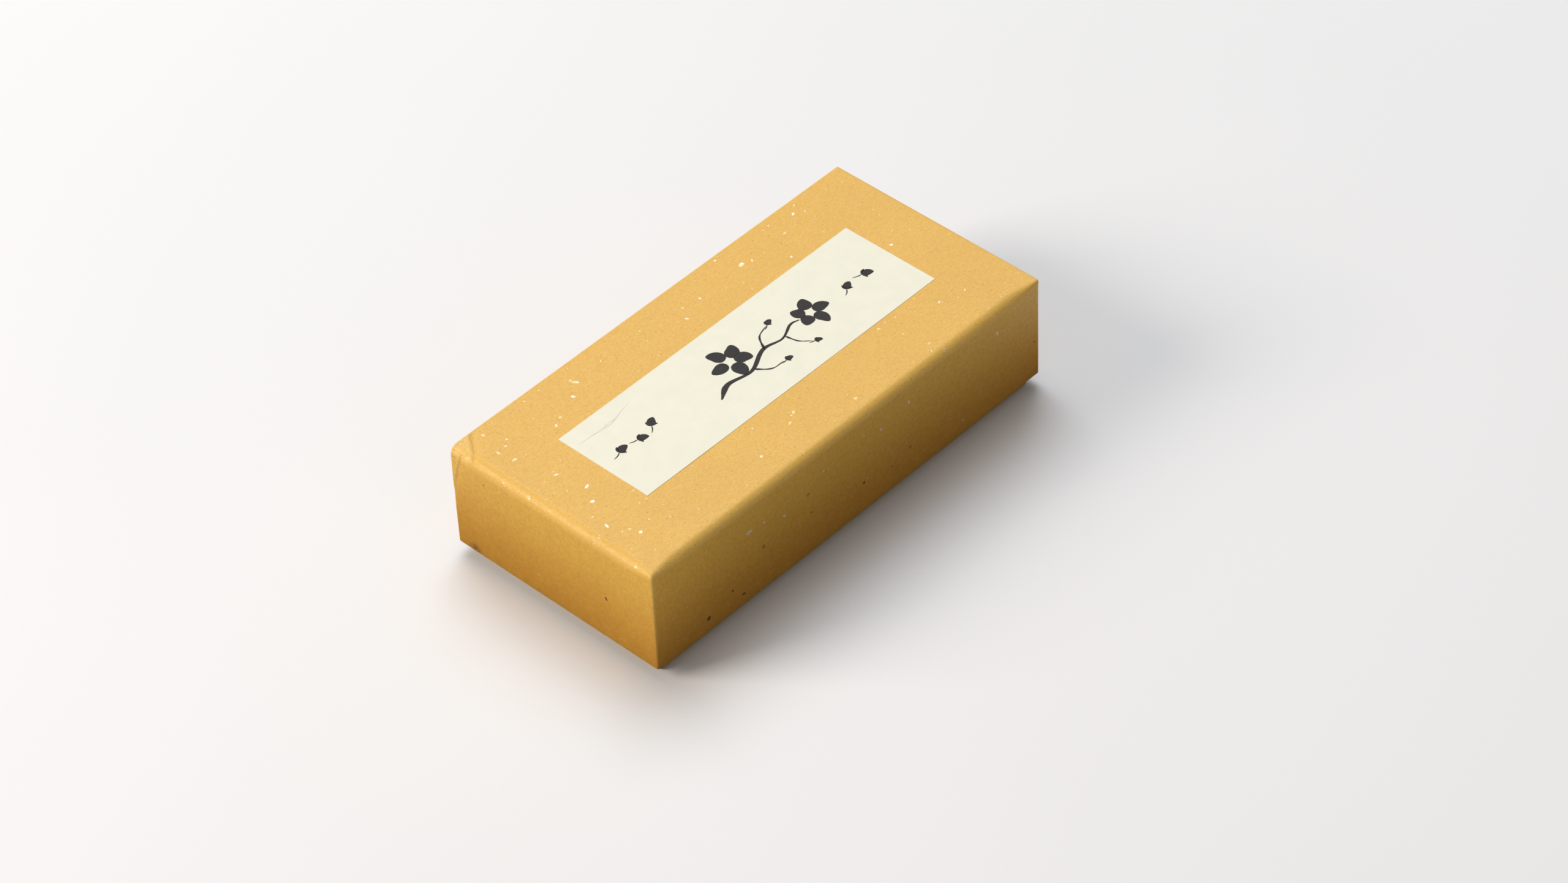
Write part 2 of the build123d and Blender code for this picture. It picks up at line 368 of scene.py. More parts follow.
def lid_shape(points):
    """The lid's skin as it really lies: slightly bowed and uneven, with one knocked corner."""
    normals = outward(points, LID_SIZE, LID_TOP)
    flat = 0.02 * (1 + noise_at(points, 30 * MM, 2)) + 0.006 * (1 + noise_at(points, 6 * MM, 3))
    moved = points - (MM * flat)[:, None] * normals
    moved[:, 2] -= top_sag(points) * np.clip(normals[:, 2], 0, 1) ** 2
    moved = rolled(rolled(moved, 1, FRONT_ROLL), 0, END_ROLL)
    return np.clip(knocked(moved, normals), np.array(LID_LOW), np.array(LID_HIGH))


def seam_inset(points, size, top):
    """At the upright corners the end's paper stands proud of the flap that goes round the corner."""
    beyond_x = smooth_step((np.abs(points[:, 0]) - (size[0] / 2 - CORNER_RADIUS)) / (0.1 * MM))
    beyond_y = smooth_step((np.abs(points[:, 1]) - (size[1] / 2 - CORNER_RADIUS - 0.1 * MM)) / (0.1 * MM))
    below = smooth_step((top - EDGE_RADIUS - points[:, 2]) / (2 * MM))
    step = SEAM_STEP * beyond_x * beyond_y * below
    return points - step[:, None] * outward(points, size, top)


# ---------------------------------------------------------------- the lid and the tray

def lid_lines():
    """Places of the mesh lines along and across the lid, closest near the knocked corner."""
    xs = grid_lines(LID_SIZE[0] / 2 - EDGE_RADIUS, FINE, MEDIUM, COARSE)
    ys = grid_lines(LID_SIZE[1] / 2 - EDGE_RADIUS, MEDIUM, FINE, COARSE)
    return xs, ys


def lid_wrap(material):
    """One sheet of paper over the lid, round its rim and a little way up the inside: a closed thin skin."""
    turned = LID_RIM + LID_TURN_IN
    heights = wall_heights(LID_TOP - EDGE_RADIUS, LID_RIM + RIM_BEND, FINE)[:-1]
    outside = edge_profile(0, LID_TOP)
    outside += [(0, CORNER_RADIUS, z) for z in heights]
    outside += rim_profile(LID_RIM)
    outside += [(WALL, INNER_CORNER, z) for z in np.linspace(LID_RIM + RIM_BEND, turned, 8)[1:]]
    back = edge_profile(PAPER, LID_TOP - PAPER)
    back += [(PAPER, corner_at(PAPER), z) for z in heights]
    back.append((PAPER, corner_at(PAPER), LID_RIM + PAPER))
    back += [(WALL - PAPER, INNER_CORNER, z) for z in (LID_RIM + PAPER, turned)]
    vertices, faces = tub_mesh(LID_SIZE, lid_lines(), outside + back[::-1], caps=True)
    vertices = lid_shape(seam_inset(vertices, LID_SIZE, LID_TOP))
    wrap = make_object("lid_wrap_paper", vertices, faces, merge=MERGE)
    points = vertex_array(wrap, "co")
    # Paler paper on the edges and the knocked corner: rubbing and painted highlight
    set_attribute(wrap, "wear_and_highlight", wear_and_highlight_amount(points, vertex_array(wrap, "normal")))
    # Painted shade: darker, redder paper towards the lid's rim
    set_attribute(wrap, "painted_rim_shade", painted_rim_shade_amount(points))
    place(wrap, "lid", "gold_paper", material, "lid_wrap")
    return wrap


def wear_and_highlight_amount(points, normals):
    """How much paler the paper is painted: rubbing with painted highlight on the edges and corners, painted
    highlight on the knocked corner's facet and its end crease's ridge, rubbing at the rim; most on the
    corners and the knocked end, a little on the edges and the rim.
    """
    share = 1 - np.abs(normals).max(axis=1)
    # Rubbing and painted highlight on the edges and corners
    edges = 0.4 * smooth_step(share * 3.6) + 0.45 * smooth_step((share - 0.28) * 8)
    # Painted highlight on the knocked corner's facet and on its end crease's ridge
    facet = 0.75 * smooth_step((1.08 - crease_share(points, TOP_CREASE)) / 0.3) * (normals[:, 2] > 0.3)
    ridge = 0.9 * np.exp(-((crease_share(points, END_CREASE) - 0.98) / 0.09) ** 2) * (normals[:, 0] < -0.7)
    rim = 0.35 * np.exp(-((points[:, 2] - LID_RIM) / (0.35 * MM)) ** 2)
    return np.clip(edges + facet + ridge + rim, 0, 1)


def painted_rim_shade_amount(points):
    """Painted shade: how much darker and redder the paper is painted, most along the lid's rim and fading out
    32 mm above it.
    """
    return 1 - smooth_step((points[:, 2] - LID_RIM) / (32 * MM))


def lid_board(material):
    """The board under the wrap. Its outside follows the wrap; its inside stays flat under the lining."""
    high = LID_TOP - PAPER
    low = LID_RIM + PAPER
    depth = PAPER + BOARD
    rows = edge_profile(PAPER, high)
    rows += [(PAPER, corner_at(PAPER), z) for z in wall_heights(LID_TOP - EDGE_RADIUS, low, FINE)]
    outer_rows = len(rows)
    rows += [(depth, INNER_CORNER, z) for z in (low, (low + high) / 2, high - BOARD)]
    rows.append((depth + INNER_CORNER, INNER_CORNER, high - BOARD))
    vertices, faces = tub_mesh(LID_SIZE, lid_lines(), rows, caps=True)
    around = len(rounded_loop(LID_SIZE, lid_lines(), *rows[0]))
    cap = (len(vertices) - around * len(rows)) // 2
    outer = np.zeros(len(vertices), bool)
    outer[:around * outer_rows] = True
    outer[around * len(rows):around * len(rows) + cap] = True
    vertices[outer] = lid_shape(vertices[outer])
    board = make_object("lid_board_folded", vertices, faces, merge=MERGE)
    place(board, "lid", "greyboard", material, "lid_board")


def tape_path(inset):
    """Places in plan along a tape folded round the lid's +X +Y corner, at some depth in its skin."""
    corner = corner_at(inset)
    side_x = LID_SIZE[0] / 2 - inset
    side_y = LID_SIZE[1] / 2 - inset
    flats = np.linspace(TAPE_REACH, 1.1 * corner, 10)
    path = [(side_x - step, side_y) for step in flats]
    for angle in np.linspace(0, math.pi / 2, CORNER_STEPS + 1):
        path.append((side_x - corner + corner * math.sin(angle), side_y - corner + corner * math.cos(angle)))
    return path + [(side_x, side_y - step) for step in flats[::-1]]


def lid_tapes(material):
    """Four paper tapes folded round the board's upright corners, just under the wrap."""
    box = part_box("lid_corner_tapes")
    ring = tape_path(PAPER + TAPE_GLUE) + tape_path(PAPER + CORNER_TAPE)[::-1]
    count = len(ring)
    heights = np.linspace(box[0].z, box[1].z, 40)
    vertices, faces = [], []
    for side_x in (-1, 1):
        for side_y in (-1, 1):
            start = len(vertices)
            for z in heights:
                vertices.extend((side_x * x, side_y * y, z) for x, y in ring)
            for level in range(len(heights) - 1):
                faces += ring_faces(start + level * count, start + (level + 1) * count, count)
            for base in (start, start + (len(heights) - 1) * count):
                for k in range(count // 2 - 1):
                    faces.append((base + k, base + k + 1, base + count - 2 - k, base + count - 1 - k))
    tapes = make_object("lid_corner_tapes_folded", lid_shape(np.array(vertices)), faces)
    place(tapes, "lid", "kraft_tape", material, "lid_corner_tapes")


def tray_wrap(material):
    """The tray's paper: a margin under the bottom, up the walls, round the rim and a way down the inside.

    It is made upside down, like the lid's, and turned over at the end.
    """
    height = TRAY_HIGH.z - TRAY_LOW.z
    lines = (
        grid_lines(TRAY_SIZE[0] / 2 - EDGE_RADIUS, COARSE, COARSE, 2 * COARSE),
        grid_lines(TRAY_SIZE[1] / 2 - EDGE_RADIUS, COARSE, COARSE, 2 * COARSE),
    )
    heights = wall_heights(height - EDGE_RADIUS, RIM_BEND, COARSE)[:-1]
    outside = [(inset, INNER_CORNER, height) for inset in np.linspace(BOTTOM_MARGIN, EDGE_RADIUS, 6)[:-1]]
    outside += edge_profile(0, height)
    outside += [(0, CORNER_RADIUS, z) for z in heights]
    outside += rim_profile(0)
    outside += [(WALL, INNER_CORNER, z) for z in np.linspace(RIM_BEND, TRAY_TURN_IN, 5)[1:]]
    back = [(BOTTOM_MARGIN, INNER_CORNER, height - PAPER)]
    back += edge_profile(PAPER, height - PAPER)
    back.append((PAPER, corner_at(PAPER), PAPER))
    back += [(WALL - PAPER, INNER_CORNER, z) for z in (PAPER, TRAY_TURN_IN)]
    vertices, faces = tub_mesh(TRAY_SIZE, lines, outside + back[::-1], caps=False)
    uneven = 0.02 * MM * (1 + noise_at(vertices, 9 * MM, 8))
    normals = outward(vertices, TRAY_SIZE, height)
    vertices = seam_inset(vertices, TRAY_SIZE, height) - uneven[:, None] * normals
    # Paler on the edges from rubbing and painted highlight, and rubbed at the rim
    wear_and_highlight = smooth_step(edge_share(vertices, TRAY_SIZE, height) * 3) * (np.abs(normals).max(axis=1) > 0.1)
    wear_and_highlight = np.clip(0.7 * wear_and_highlight + 0.5 * np.exp(-(vertices[:, 2] / (0.3 * MM)) ** 2), 0, 1)
    vertices[:, 2] = TRAY_HIGH.z - vertices[:, 2]
    wrap = make_object("tray_wrap_paper", vertices, faces)
    set_attribute(wrap, "wear_and_highlight", wear_and_highlight)
    place(wrap, "tray", "gold_paper", material, "tray_wrap")


# ---------------------------------------------------------------- the label and its brushwork

LABEL_LOW, LABEL_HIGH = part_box("top_label")
LABEL_CENTRE = (LABEL_LOW + LABEL_HIGH) / 2
LABEL_PAPER = LABEL_HIGH.z - LABEL_LOW.z


def label_top(points):
    """Height of the label's face: it follows the lid's sag and ripples a little near its lower end."""
    ripple = 0.012 * MM * noise_at(points, 9 * MM, 11)
    lower = smooth_step((LABEL_CENTRE.x - 20 * MM - points[:, 0]) / (25 * MM))
    crease = 0.02 * MM * noise_at(points * np.array((1, 0.35, 1)), 3 * MM, 12) * lower
    return LABEL_HIGH.z - 0.05 * MM - top_sag(points) + ripple + crease


def label(material):
    """A thin sheet glued on the lid, a closed solid with a fine grid on both faces."""
    xs = np.linspace(LABEL_LOW.x, LABEL_HIGH.x, 111)
    ys = np.linspace(LABEL_LOW.y, LABEL_HIGH.y, 34)
    top = np.array([(x, y, 0) for x in xs for y in ys])
    top[:, 2] = label_top(top)
    top = top.reshape(len(xs), len(ys), 3)
    sheet = sheet_object("top_label_paper", top, top - np.array((0, 0, LABEL_PAPER)))
    place(sheet, "lid", "label_paper", material, "top_label")


def curve_through(points, count):
    """Evenly many points on a smooth line through the given ones, and the share of the way at each."""
    points = [Vector(p) for p in points]
    padded = [2 * points[0] - points[1], *points, 2 * points[-1] - points[-2]]
    spans = len(points) - 1
    places = []
    for number in range(count):
        along = number / (count - 1) * spans
        span = min(int(along), spans - 1)
        t = along - span
        a, b, c, d = padded[span:span + 4]
        square = 2 * a - 5 * b + 4 * c - d
        cube = 3 * b - a - 3 * c + d
        places.append(0.5 * (2 * b + (c - a) * t + square * t ** 2 + cube * t ** 3))
    return places, np.linspace(0, 1, count)


def petal_width(share):
    """A fat brush mark, rounded at its far end."""
    return np.sin(math.pi * share ** 0.75) ** 0.6


def branch_width(share):
    """A long dragged stroke: it swells at each bend and thins to its tip."""
    return (1 - 0.72 * share) * (1 + 0.22 * math.sin(17 * share)) * (0.25 + 0.75 * min(1.0, 9 * share))


def hair_width(share):
    """An even hair, fine at both ends."""
    return min(1.0, 6 * share, 6 * (1 - share))


def stroke(points, width, shape, seed, count=26):
    """Outline of one stroke on a sheet, in millimetres: a left and a right edge, slightly rough."""
    places, share = curve_through(points, count)
    shift = random.Random(seed).uniform(0, 50)
    left, right = [], []
    for number, centre in enumerate(places):
        before = places[max(number - 1, 0)]
        after = places[min(number + 1, count - 1)]
        along = (after - before).normalized()
        side = Vector((-along.y, along.x))
        half = width / 2 * float(shape(share[number])) + 0.02
        rough = [0.06 * noise.noise(Vector((number * 0.45, shift + k * 9, 0))) for k in range(2)]
        left.append(centre + side * (half + rough[0] * min(1.0, 3 * half)))
        right.append(centre - side * (half + rough[1] * min(1.0, 3 * half)))
    return left, right


def blossom(centre, radius, turn, seed):
    """Five petals round a centre, unequal as a brush leaves them."""
    chooser = random.Random(seed)
    petals = []
    for number in range(5):
        angle = math.radians(turn + 72 * number + chooser.uniform(-7, 7))
        reach = radius * chooser.uniform(0.86, 1.06)
        outwards = Vector((math.cos(angle), math.sin(angle)))
        sideways = Vector((-outwards.y, outwards.x)) * chooser.uniform(-0.12, 0.12) * radius
        inner = centre + outwards * 0.2 * radius
        middle = centre + outwards * 0.6 * reach + sideways
        width = radius * chooser.uniform(0.56, 0.68)
        petals.append(stroke([inner, middle, centre + outwards * reach], width, petal_width, seed + number))
    return petals


def bud(centre, length, turn, seed):
    """A closed bud on a short stalk, with a small sepal on each side."""

    def mark(reach, width, sideways, offset):
        outwards = Matrix.Rotation(math.radians(turn + sideways), 2) @ Vector((1, 0))
        bow = Vector((-outwards.y, outwards.x)) * 0.08 * reach
        points = [centre, centre + outwards * 0.5 * reach + bow, centre + outwards * reach]
        return stroke(points, width, petal_width, seed + offset)

    return [
        mark(-0.55 * length, 0.3, 8, 0),
        mark(0.62 * length, 0.46 * length, 0, 1),
        mark(0.4 * length, 0.16 * length, 58, 2),
        mark(0.36 * length, 0.15 * length, -55, 3),
    ]


def motif_strokes():
    """A blossoming twig down the label, in millimetres from its middle: x to the right, y up."""
    twigs = (
        ([(5.6, -16.5), (2.8, -11.2), (3.9, -3.4), (0.4, 4.6), (1.4, 11.0), (-0.8, 16.4), (-0.3, 19.4)], 1.5),
        ([(0.6, 5.0), (-3.6, 7.6), (-5.2, 11.6)], 0.7),
        ([(3.7, -2.6), (7.2, 0.8), (7.6, 5.0)], 0.65),
        ([(1.2, 12.2), (5.2, 13.2), (7.9, 15.6)], 0.6),
    )
    strokes = [stroke(points, width, branch_width, 40 + k, 60) for k, (points, width) in enumerate(twigs)]
    strokes += blossom(Vector((-0.2, 23.4)), 6.1, 84, 1)
    strokes += blossom(Vector((-3.0, -4.4)), 6.6, 60, 11)
    buds = (
        (-5.4, 12.4, 3.8, 108), (7.8, 5.8, 3.6, 82), (8.4, 16.2, 3.4, 60),
        (0.0, 43.6, 5.4, 62), (0.9, 36.6, 5.0, 118),
        (-1.4, -35.4, 5.2, 128), (-0.4, -41.4, 5.0, 66), (-0.6, -48.0, 5.4, 98),
    )
    for number, (x, y, length, turn) in enumerate(buds):
        strokes += bud(Vector((x, y)), length, turn, 60 + 5 * number)
    return strokes


def inked(name, strokes, to_surface, lift):
    """Thin closed slivers of ink. to_surface turns rows of x, y in millimetres into x, y, z on the sheet."""
    vertices, faces = [], []
    for left, right in strokes:
        edge = np.array([(p.x, p.y) for p in left + right])
        surface = to_surface(edge)
        start = len(vertices)
        half = len(left)
        vertices.extend(surface + np.array((0, 0, lift)))
        vertices.extend(surface - np.array((0, 0, lift)))
        down = 2 * half
        for k in range(half - 1):
            a, b, c, d = start + k, start + k + 1, start + half + k + 1, start + half + k
            faces.append((a, b, c, d))
            faces.append((down + d, down + c, down + b, down + a))
            faces.append((b, a, down + a, down + b))
            faces.append((d, c, down + c, down + d))
        for a, d in ((start, start + half), (start + 2 * half - 1, start + half - 1)):
            faces.append((a, d, down + d, down + a))
    return make_object(name, vertices, faces, sharp_degrees=20)


def on_label(flat):
    """Rows of x, y, z on the label. Its top is towards +X and its right towards -Y."""
    points = np.zeros((len(flat), 3))
    points[:, 0] = LABEL_CENTRE.x + flat[:, 1] * MM
    points[:, 1] = LABEL_CENTRE.y - flat[:, 0] * MM
    points[:, 2] = label_top(points)
    return points


def label_motif(material):
    """The brushwork on the label."""
    ink = inked("label_brush_motif", motif_strokes(), on_label, 0.014 * MM)
    place(ink, "lid", "label_paper", material)


def label_hair(material):
    """One long hair of pulp in the label's paper, near its lower left."""
    hairs = (
        [(-10.6, -53), (-10.4, -49), (-10.0, -45), (-9.8, -41.5), (-11.2, -36.5), (-12, -32.5)],
        [(-10.0, -45), (-10.5, -42), (-10.2, -39)],
    )
    strokes = [stroke(points, 0.13, hair_width, 90 + k, 60) for k, points in enumerate(hairs)]
    place(inked("label_pulp_hair", strokes, on_label, 0.01 * MM), "lid", "label_paper", material)


# ---------------------------------------------------------------- foil flecks in the paper

# The large flecks on the lid's top: x, y and size in mm
LARGE_FLECKS = (
    (27, 28, 1.9), (44, 28, 1.1), (38, 20, 0.9), (10, 27, 0.9), (2, 24, 1.0), (59, 3, 1.3), (50, -22, 0.9),
    (58, -24, 0.9), (37, -35, 1.3), (-10, -24, 1.0), (-35, 29, 1.7), (-24, -27, 1.1), (-62, 27, 0.9),
    (-67, 25, 1.1), (-66, 20, 1.1), (-50, 21, 1.1), (-63, 8, 1.0), (-61, -1, 1.3), (-64, -6, 1.4),
    (-68, -10, 0.8), (-68, -15, 1.4), (-65, -20, 0.8), (-64, -23, 1.2), (-73, 17, 1.1), (-73, 8, 1.1),
    (-72, -16, 1.2), (-73, -30, 1.4),
)
# Foil and painted reflection (dark flecks for foil that mirrors the dark board) on the lid's -Y side (x, z
# and size), and bark on its -X end (y, z and size)
FRONT_FOIL = ((11, 27, 1.3), (-11, 28, 1.1), (-26, 23, 1.0))
FRONT_PAINTED_REFLECTION = (
    (-34, 18, 1.1), (-17, 24, 0.8), (-16, 17, 0.7), (4, 13, 1.0), (22, 13, 0.9), (15, 11, 0.6),
    (-46, 11, 0.8), (-42, 7, 1.2), (-55, 8, 1.6), (72, 16, 0.7),
)
END_BARK = ((-19, 18, 1.3), (24, 31, 0.5))
SCATTERED_ON_TOP = 80
SCATTERED_ON_END = 5
SCATTERED_ON_SIDE = 15
FLECK_HALF_THICKNESS = 0.012 * MM
OUTSIDE = -0.1
DOWN = Vector((0, 0, -1))


def fleck_outline(chooser, size):
    """An irregular little polygon, in its own plane."""
    corners = chooser.randint(5, 7)
    stretch = chooser.uniform(1.0, 1.7)
    turn = chooser.uniform(0, math.pi)
    outline = []
    for number in range(corners):
        angle = 2 * math.pi * (number + chooser.uniform(-0.25, 0.25)) / corners
        reach = size / 2 * chooser.uniform(0.65, 1.1)
        spot = Vector((reach * stretch * math.cos(angle), reach / stretch * math.sin(angle)))
        outline.append(Matrix.Rotation(turn, 2) @ spot)
    return outline


def add_fleck(tree, start, toward, chooser, size, vertices, faces):
    """Lays one fleck on the paper where a ray from start meets it."""
    hit, normal, _, _ = tree.ray_cast(start, toward)
    if hit is None:
        return
    side = normal.orthogonal().normalized()
    other = normal.cross(side)
    ring = []
    for spot in fleck_outline(chooser, size):
        above = hit + side * spot.x + other * spot.y + normal * MM
        met, face_normal, _, _ = tree.ray_cast(above, -normal)
        if met is None or (met - hit).length > 2 * size:
            return
        ring.append((met, face_normal * FLECK_HALF_THICKNESS))
    first = len(vertices)
    count = len(ring)
    vertices.extend(met + offset for met, offset in ring)
    vertices.extend(met - offset for met, offset in ring)
    faces.append(tuple(first + k for k in range(count)))
    faces.append(tuple(first + count + k for k in reversed(range(count))))
    faces += ring_faces(first + count, first, count)


def fleck_size(chooser):
    """Mostly small flecks, a few large."""
    return MM * (0.25 + 0.22 * chooser.expovariate(1.0))


def under_label(x, y):
    """True where the label would hide a fleck."""
    spare = 0.8 * MM
    inside_x = LABEL_LOW.x - spare < x < LABEL_HIGH.x + spare
    return inside_x and LABEL_LOW.y - spare < y < LABEL_HIGH.y + spare


def scattered_on_top(chooser):
    """Small flecks on the lid's top, thickest along its +Y margin and round its -X end."""
    half_x, half_y = LID_SIZE[0] / 2, LID_SIZE[1] / 2
    placed = 0
    while placed < SCATTERED_ON_TOP:
        x = chooser.uniform(-half_x + 0.5 * MM, half_x - MM)
        y = chooser.uniform(-half_y + 0.5 * MM, half_y - 0.5 * MM)
        keep = 0.3 + 0.7 * max(smooth_step(y / half_y), smooth_step((-x / half_x - 0.45) * 2.5))
        if under_label(x, y) or chooser.random() > keep:
            continue
        yield Vector((x, y, LID_TOP + MM)), DOWN, fleck_size(chooser)
        placed += 1


def scattered_on_sides(chooser):
    """Small flecks on the lid's four sides."""
    half_x, half_y = LID_SIZE[0] / 2, LID_SIZE[1] / 2
    for toward, reach, count in (
        (Vector((1, 0, 0)), half_y, SCATTERED_ON_END),
        (Vector((-1, 0, 0)), half_y, SCATTERED_ON_END),
        (Vector((0, 1, 0)), half_x, SCATTERED_ON_SIDE),
        (Vector((0, -1, 0)), half_x, SCATTERED_ON_SIDE),
    ):
        sideways = Vector((-toward.y, toward.x, 0))
        for _ in range(count):
            along = chooser.uniform(-reach + 1.6 * MM, reach - 1.6 * MM)
            z = chooser.uniform(LID_RIM + 1.2 * MM, LID_TOP - 2 * MM)
            start = -toward * (half_x + half_y) + sideways * along + Vector((0, 0, z))
            yield start, toward, 1.15 * fleck_size(chooser)


def on_front(marks):
    """Marks given by x, z and size on the lid's -Y side."""
    for x, z, size in marks:
        yield Vector((x * MM, OUTSIDE, z * MM)), Vector((0, 1, 0)), size * MM


def foil_marks(chooser):
    """Every foil fleck: where a ray towards it starts, the ray's direction and the fleck's size."""
    for x, y, size in LARGE_FLECKS:
        yield Vector((x * MM, y * MM, LID_TOP + MM)), DOWN, size * MM
    yield from scattered_on_top(chooser)
    yield from scattered_on_sides(chooser)
    yield from on_front(FRONT_FOIL)


def dark_and_painted_reflection_marks():
    """Every dark fleck, as in foil_marks: bark on the -X end, and dark flecks painted as foil's reflection of
    the dark board on the -Y side.
    """
    for y, z, size in END_BARK:
        yield Vector((OUTSIDE, y * MM, z * MM)), Vector((1, 0, 0)), size * MM
    yield from on_front(FRONT_PAINTED_REFLECTION)


def flecks(wrap, foil, dark_and_reflection_fleck_material):
    """Silver foil flecks in the lid's paper, a few dark scraps of bark on its -X end and dark flecks on its
    -Y side, a painted reflection of the dark board in foil.
    """
    tree = BVHTree.FromPolygons(
        [v.co.copy() for v in wrap.data.vertices],
        [tuple(p.vertices) for p in wrap.data.polygons],
    )
    chooser = random.Random(20)
    for name, marks, material in (
        ("lid_foil_flecks", foil_marks(chooser), foil),
        ("lid_dark_and_painted_reflection_flecks", dark_and_painted_reflection_marks(), dark_and_reflection_fleck_material),
    ):
        vertices, faces = [], []
        for start, toward, size in marks:
            add_fleck(tree, start, toward, chooser, size, vertices, faces)
        place(make_object(name, vertices, faces, sharp_degrees=20), "lid", "gold_paper", material)


# ---------------------------------------------------------------- charcoal sticks

GROOVES = 3
GROOVE_DEPTH = 0.9 * MM
STICK_CORNER = 0.8 * MM
STICK_SPACING = 0.75 * MM
# How far in from a stick's end, and the section's share of full size there
WORN_END = ((0, 0.82), (0.08 * MM, 0.9), (0.3 * MM, 0.97))
CHIPS = 7
CHIP_DEPTH = 0.35


def stick_section(width, height):
    """Places of y and z round a stick's rounded section, with several points on each flat."""
    centre = np.array((width / 2 - STICK_CORNER, height / 2 - STICK_CORNER))
    arcs = []
    for signs, start in (((1, 1), 0), ((-1, 1), 90), ((-1, -1), 180), ((1, -1), 270)):
        angles = np.radians(start + np.linspace(0, 90, 4))
        arcs.append(centre * signs + STICK_CORNER * column(np.cos(angles), np.sin(angles)))
    points = []
    for arc, following in zip(arcs, arcs[1:] + arcs[:1]):
        points.extend(arc)
        points.extend(arc[-1] + (following[0] - arc[-1]) * share for share in np.linspace(0, 1, 8)[1:-1])
    return points


def groove_drop(x, low, high):
    """How far the top of a stick lies below its highest level at x."""
    pitch = (high - low) / (GROOVES + 1)
    nearest = min(abs(x - low - pitch * number) for number in range(1, GROOVES + 1))
    return max(0.0, GROOVE_DEPTH - nearest)


def stick_rows(low, high):
    """Places of x along a stick, each with its section's share of full size: less at the worn ends."""
    rows = [(low + inset, share) for inset, share in WORN_END]
    rows += [(x, 1.0) for x in np.arange(low + STICK_SPACING, high - STICK_SPACING / 2, STICK_SPACING)]
    return rows + [(high - inset, share) for inset, share in WORN_END[::-1]]


def chipped(points, inward, low, high, seed):
    """Takes a few small chips out of a stick's arrises."""
    chooser = random.Random(seed)
    for _ in range(CHIPS):
        chip = Vector((
            chooser.choice((low.x, high.x, chooser.uniform(low.x, high.x))),
            chooser.choice((low.y, high.y)),
            chooser.choice((low.z, high.z)),
        ))
        reach = chooser.uniform(0.7, 2.0) * MM
        near = np.exp(-(np.linalg.norm(points - np.array(chip), axis=1) / reach) ** 2)
        points = points + (CHIP_DEPTH * reach * near)[:, None] * inward
    return points


def stick(node, body, material, seed):
    """One pressed stick: slightly uneven faces, chipped arrises and snap grooves."""
    low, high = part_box(node)
    middle = (low + high) / 2
    section = stick_section(high.y - low.y, high.z - low.z)
    rows = stick_rows(low.x, high.x)
    vertices, faces = [], []
    for x, shrink in rows:
        drop = groove_drop(x, low.x, high.x)
        for y, z in section:
            z = min(z, (high.z - low.z) / 2 - drop)
            vertices.append((x, middle.y + y * shrink, middle.z + z * shrink))
    points = np.array(vertices)
    inward = np.array(middle) - points
    inward[:, 0] = 0
    inward = inward / np.linalg.norm(inward, axis=1)[:, None]
    uneven = 0.04 * MM * (1 + noise_at(points, 3 * MM, seed))
    uneven += 0.015 * MM * (1 + noise_at(points, 0.9 * MM, seed + 50))
    points = chipped(points + uneven[:, None] * inward, inward, low, high, seed)
    count = len(section)
    for row in range(len(rows) - 1):
        faces += ring_faces(row * count, (row + 1) * count, count)
    faces.append(tuple(range(count)))
    faces.append(tuple((len(rows) - 1) * count + k for k in reversed(range(count))))
    bar = make_object(node + "_pressed", points, faces, sharp_degrees=35)
    place(bar, body, "charcoal", material, node)


def sticks(material):
    """Every stick, on the body its CAD node belongs to."""
    seed = 100
    for body, members in frame["record"]["behaviour"]["bodies"].items():
        for node in members:
            if node.startswith("stick_"):
                stick(node, body, material, seed)
                seed += 1


# ---------------------------------------------------------------- the leaflet

LEAFLET_LOW, LEAFLET_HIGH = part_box("leaflet")
LEAFLET_PAPER = 0.12 * MM
LOWER_LEAF = LEAFLET_LOW.z + LEAFLET_PAPER / 2
FOLD_INSET = 0.3 * MM
FOLD_REACH = 0.24 * MM
PRINT_OFFSET = 28 * MM
PRINT_SCALE = 0.55
PRINTED_STROKES = 14


def upper_leaf_height(points):
    """Height of the upper leaf's middle: it stands up a little from the lower leaf away from the fold."""
    share = (points[:, 1] - LEAFLET_LOW.y) / (LEAFLET_HIGH.y - LEAFLET_LOW.y)
    gap = LEAFLET_HIGH.z - LOWER_LEAF - LEAFLET_PAPER / 2
    wave = 0.5 + 0.5 * noise_at(points, 40 * MM, 31)
    return LOWER_LEAF + gap * (0.55 + 0.45 * wave * smooth_step(share * 3)) * smooth_step(share * 30 + 0.4)


def on_leaflet(flat):
    """Rows of x, y, z on the leaflet's upper leaf, for a print at reduced size."""
    centre = (LEAFLET_LOW + LEAFLET_HIGH) / 2
    points = np.zeros((len(flat), 3))
    points[:, 0] = centre.x + PRINT_OFFSET + PRINT_SCALE * flat[:, 1] * MM
    points[:, 1] = centre.y - PRINT_SCALE * flat[:, 0] * MM
    points[:, 2] = upper_leaf_height(points) + LEAFLET_PAPER / 2
    return points


